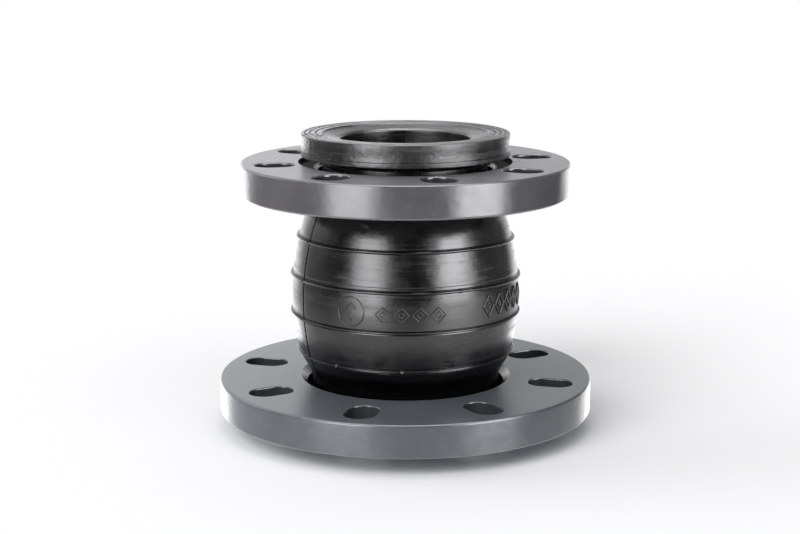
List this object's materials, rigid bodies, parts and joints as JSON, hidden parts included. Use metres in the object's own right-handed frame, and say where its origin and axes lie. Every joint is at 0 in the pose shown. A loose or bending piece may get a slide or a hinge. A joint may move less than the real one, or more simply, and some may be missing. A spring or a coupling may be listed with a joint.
{
  "type": "rubber expansion joint",
  "caption": "Concentric reducing single-sphere rubber expansion joint with loose slotted PVC-U flanges, standing on its larger end.",
  "frame": {"origin": "centre of the DN100 sealing face, which is the base that the joint stands on", "axes": "+Z along the pipe axis, from the DN100 end to the DN80 end"},
  "size_m": [0.229, 0.229, 0.18],
  "materials": {
    "cover_rubber": "semi-gloss moulded",
    "inner_rubber": "satin",
    "nylon_cord": "dipped cord",
    "bead_steel": "bronze-coated hard wire",
    "flange_pvc": "turned and moulded, satin"
  },
  "bodies": {
    "lower_end": {"lower_sealing_collar": "cover_rubber", "lower_collar_back": "cover_rubber", "lower_bead_wrap": "nylon_cord", "lower_bead_wire_1": "bead_steel", "lower_bead_wire_2": "bead_steel", "lower_bead_wire_3": "bead_steel", "lower_bead_wire_4": "bead_steel", "outer_cover": "cover_rubber"},
    "wall_axial": {"inner_liner": "inner_rubber"},
    "wall_lateral_x": {"inner_cord_ply": "nylon_cord"},
    "wall_lateral_y": {"middle_rubber": "inner_rubber"},
    "wall_angular_x": {"outer_cord_ply": "nylon_cord"},
    "upper_end": {"upper_sealing_collar": "cover_rubber", "upper_collar_back": "cover_rubber", "upper_bead_wrap": "nylon_cord", "upper_bead_wire_1": "bead_steel", "upper_bead_wire_2": "bead_steel", "upper_bead_wire_3": "bead_steel", "upper_bead_wire_4": "bead_steel"},
    "upper_flange": {"upper_flange": "flange_pvc"},
    "lower_flange": {"lower_flange": "flange_pvc"}
  },
  "joints": [
    {"name": "axial_travel", "type": "slide", "parent": "lower_end", "child": "wall_axial", "axis": [0, 0, 1], "range_m": [-0.015, 0.008], "stiffness_N_per_m": 42000, "deforming": ["outer_cover", "outer_cord_ply", "middle_rubber", "inner_cord_ply", "inner_liner"]},
    {"name": "lateral_x", "type": "slide", "parent": "wall_axial", "child": "wall_lateral_x", "axis": [1, 0, 0], "range_m": [-0.012, 0.012], "stiffness_N_per_m": 45000},
    {"name": "lateral_y", "type": "slide", "parent": "wall_lateral_x", "child": "wall_lateral_y", "axis": [0, 1, 0], "range_m": [-0.012, 0.012], "stiffness_N_per_m": 45000},
    {"name": "tilt_x", "type": "hinge", "parent": "wall_lateral_y", "child": "wall_angular_x", "pos_m": [0, 0, 0.088], "axis": [1, 0, 0], "range_deg": [-15, 15], "stiffness_Nm_per_rad": 130},
    {"name": "tilt_y", "type": "hinge", "parent": "wall_angular_x", "child": "upper_end", "pos_m": [0, 0, 0.088], "axis": [0, 1, 0], "range_deg": [-15, 15], "stiffness_Nm_per_rad": 130},
    {"name": "upper_flange_swivel", "type": "hinge", "parent": "upper_end", "child": "upper_flange", "pos_m": [0, 0, 0.1525], "axis": [0, 0, 1], "continuous": true},
    {"name": "lower_flange_swivel", "type": "hinge", "parent": "lower_end", "child": "lower_flange", "pos_m": [0, 0, 0.02], "axis": [0, 0, 1], "continuous": true}
  ]
}
